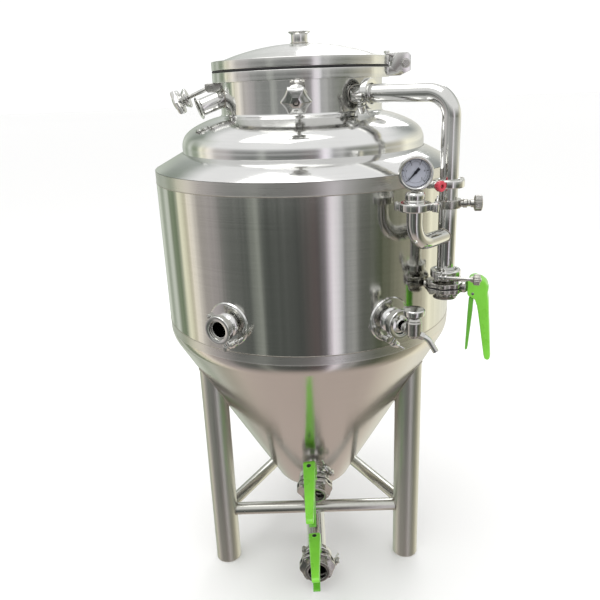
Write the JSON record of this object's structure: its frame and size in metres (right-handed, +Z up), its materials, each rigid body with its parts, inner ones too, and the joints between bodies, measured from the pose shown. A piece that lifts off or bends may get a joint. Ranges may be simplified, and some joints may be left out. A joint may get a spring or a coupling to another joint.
{
  "type": "conical fermenter",
  "caption": "Jacketed conical fermenter on tubular legs, with a hinged bolted lid, front ports, a blow-off arm with pressure gauge, and lever butterfly valves.",
  "frame": {"origin": "centre of the bottom of the whole object's box, on the floor; the tank's own axis stands at x = -0.0211 m, y = 0.0365 m", "axes": "+Z up, -Y the front with the gauge and the valves, +X the viewer's right"},
  "size_m": [0.7622, 0.793, 1.358],
  "materials": {
    "brushed_steel": "satin brushed stainless sheet",
    "polished_steel": "polished stainless",
    "satin_steel": "satin stainless tube",
    "green_grip": "semi-gloss lime green",
    "gasket_rubber": "matt black",
    "red_knob": "semi-gloss red",
    "dial_face": "matt white",
    "needle_black": "matt black paint",
    "gauge_glass": "clear",
    "foam": "rigid foam"
  },
  "bodies": {
    "tank": {"inner_tank": "polished_steel", "arm_pipe_lower": "polished_steel", "jacket_cone": "brushed_steel", "arm_pipe_upper": "polished_steel", "neck_flange": "brushed_steel", "port_right": "polished_steel", "port_left": "polished_steel", "insulation": "foam", "outlet_pipe": "polished_steel", "sample_valve_body": "polished_steel", "arm_valve_body": "satin_steel", "racking_valve_body": "satin_steel", "outlet_valve_body": "satin_steel", "racking_port": "polished_steel", "gauge_case": "polished_steel", "jacket_shell": "brushed_steel", "port_left_clamp": "polished_steel", "port_right_clamp": "polished_steel", "arm_top_clamp": "polished_steel", "arm_mid_clamp": "polished_steel", "gauge_clamp": "polished_steel", "arm_valve_clamp": "polished_steel", "outlet_clamp": "polished_steel", "shoulder_ring": "brushed_steel", "lid_gasket": "gasket_rubber", "lid_hinge_pin": "polished_steel", "brace_right": "satin_steel", "brace_left": "satin_steel", "gauge_seal_base": "polished_steel", "leg_left": "satin_steel", "leg_right": "satin_steel", "leg_rear": "satin_steel", "brace_front": "satin_steel", "gauge_dial": "dial_face", "gauge_lens": "gauge_glass"},
    "lid": {"lid": "brushed_steel", "lid_hinge_arm": "polished_steel"},
    "swing_bolt_left": {"swing_bolt_left": "polished_steel"},
    "star_knob_left": {"star_knob_left": "polished_steel"},
    "swing_bolt_front": {"swing_bolt_front": "polished_steel"},
    "star_knob_front": {"star_knob_front": "polished_steel"},
    "swing_bolt_rear": {"swing_bolt_rear": "polished_steel"},
    "star_knob_rear": {"star_knob_rear": "polished_steel"},
    "port_left_nut": {"port_left_nut": "polished_steel"},
    "sample_valve_knob": {"sample_valve_knob": "polished_steel"},
    "arm_top_nut": {"arm_top_nut": "polished_steel"},
    "arm_mid_nut": {"arm_mid_nut": "red_knob"},
    "arm_side_knob": {"arm_side_knob": "satin_steel"},
    "arm_valve_nut": {"arm_valve_nut": "satin_steel"},
    "outlet_nut": {"outlet_nut": "polished_steel"},
    "gauge_needle": {"gauge_needle": "needle_black"},
    "arm_valve_lever": {"arm_valve_disc": "polished_steel", "arm_valve_handle": "green_grip"},
    "arm_valve_trigger": {"arm_valve_trigger": "green_grip"},
    "racking_valve_lever": {"racking_valve_disc": "polished_steel", "racking_valve_handle": "green_grip"},
    "racking_valve_trigger": {"racking_valve_trigger": "green_grip"},
    "outlet_valve_lever": {"outlet_valve_disc": "polished_steel", "outlet_valve_handle": "green_grip"},
    "outlet_valve_trigger": {"outlet_valve_trigger": "green_grip"}
  },
  "joints": [
    {"name": "lid_hinge", "type": "hinge", "parent": "tank", "child": "lid", "pos_m": [0.22491, 0.0365, 1.28], "axis": [0, 1, 0], "range_deg": [0, 105]},
    {"name": "swing_bolt_left_pivot", "type": "hinge", "parent": "tank", "child": "swing_bolt_left", "pos_m": [-0.23809, 0.0365, 1.243], "axis": [0, 1, 0], "range_deg": [0, 112]},
    {"name": "star_knob_left_turn", "type": "hinge", "parent": "swing_bolt_left", "child": "star_knob_left", "pos_m": [-0.23809, 0.0365, 1.243], "axis": [-0.9272, 0, -0.3746], "continuous": true},
    {"name": "swing_bolt_front_pivot", "type": "hinge", "parent": "tank", "child": "swing_bolt_front", "pos_m": [-0.02866, -0.18037, 1.243], "axis": [-0.9994, 0.0349, 0], "range_deg": [0, 112]},
    {"name": "star_knob_front_turn", "type": "hinge", "parent": "swing_bolt_front", "child": "star_knob_front", "pos_m": [-0.02866, -0.18037, 1.243], "axis": [-0.0324, -0.9266, -0.3746], "continuous": true},
    {"name": "swing_bolt_rear_pivot", "type": "hinge", "parent": "tank", "child": "swing_bolt_rear", "pos_m": [-0.02109, 0.2535, 1.243], "axis": [1, 0, 0], "range_deg": [0, 112]},
    {"name": "star_knob_rear_turn", "type": "hinge", "parent": "swing_bolt_rear", "child": "star_knob_rear", "pos_m": [-0.02109, 0.2535, 1.243], "axis": [0, 0.9272, -0.3746], "continuous": true},
    {"name": "port_left_nut_turn", "type": "hinge", "parent": "tank", "child": "port_left_nut", "pos_m": [-0.1845, -0.3234, 0.72775], "axis": [0.7159, -0.3968, 0.5745], "continuous": true},
    {"name": "sample_valve_turn", "type": "hinge", "parent": "tank", "child": "sample_valve_knob", "pos_m": [0.1932, -0.35008, 0.767], "axis": [0, 0, 1], "range_deg": [0, 360]},
    {"name": "arm_top_nut_turn", "type": "hinge", "parent": "tank", "child": "arm_top_nut", "pos_m": [0.1043, -0.16173, 1.19451], "axis": [0.1947, 0.2928, -0.9361], "continuous": true},
    {"name": "arm_mid_nut_turn", "type": "hinge", "parent": "tank", "child": "arm_mid_nut", "pos_m": [0.24808, -0.26453, 1.037], "axis": [0.5026, -0.8645, 0], "continuous": true},
    {"name": "arm_side_knob_turn", "type": "hinge", "parent": "tank", "child": "arm_side_knob", "pos_m": [0.32424, -0.24332, 0.995], "axis": [0.9854, -0.1701, 0], "range_deg": [0, 360]},
    {"name": "arm_valve_nut_turn", "type": "hinge", "parent": "tank", "child": "arm_valve_nut", "pos_m": [0.31887, -0.2944, 0.8443], "axis": [0.9371, -0.3489, 0], "continuous": true},
    {"name": "outlet_nut_turn", "type": "hinge", "parent": "tank", "child": "outlet_nut", "pos_m": [0.02307, -0.2042, 0.04638], "axis": [0.6, 0, 0.8], "continuous": true},
    {"name": "gauge_needle_turn", "type": "hinge", "parent": "tank", "child": "gauge_needle", "pos_m": [0.19441, -0.3215, 1.073], "axis": [0.0872, 0.9962, 0], "range_deg": [0, 270], "stiffness_Nm_per_rad": 0.00002},
    {"name": "arm_valve_stem", "type": "hinge", "parent": "tank", "child": "arm_valve_lever", "pos_m": [0.27891, -0.2355, 0.816], "axis": [0.9397, -0.342, 0], "range_deg": [-90, 0]},
    {"name": "arm_valve_trigger_pivot", "type": "hinge", "parent": "arm_valve_lever", "child": "arm_valve_trigger", "pos_m": [0.33623, -0.25636, 0.804], "axis": [-0.342, -0.9397, 0], "range_deg": [0, 8], "stiffness_Nm_per_rad": 0.6, "springref_deg": -11.46},
    {"name": "racking_valve_stem", "type": "hinge", "parent": "tank", "child": "racking_valve_lever", "pos_m": [-0.02109, -0.166, 0.2565], "axis": [-0.1392, -0.3387, 0.9305], "range_deg": [0, 90]},
    {"name": "racking_valve_trigger_pivot", "type": "hinge", "parent": "racking_valve_lever", "child": "racking_valve_trigger", "pos_m": [-0.02958, -0.19794, 0.30916], "axis": [-0.9903, 0.0476, -0.1308], "range_deg": [0, 8], "stiffness_Nm_per_rad": 0.6, "springref_deg": -11.46},
    {"name": "outlet_valve_stem", "type": "hinge", "parent": "tank", "child": "outlet_valve_lever", "pos_m": [-0.02109, -0.2325, 0.0675], "axis": [-0.0523, 0, 0.9986], "range_deg": [0, 90]},
    {"name": "outlet_valve_trigger_pivot", "type": "hinge", "parent": "outlet_valve_lever", "child": "outlet_valve_trigger", "pos_m": [-0.02428, -0.2445, 0.12842], "axis": [-0.9986, 0, -0.0523], "range_deg": [0, 8], "stiffness_Nm_per_rad": 0.6, "springref_deg": -11.46}
  ]
}
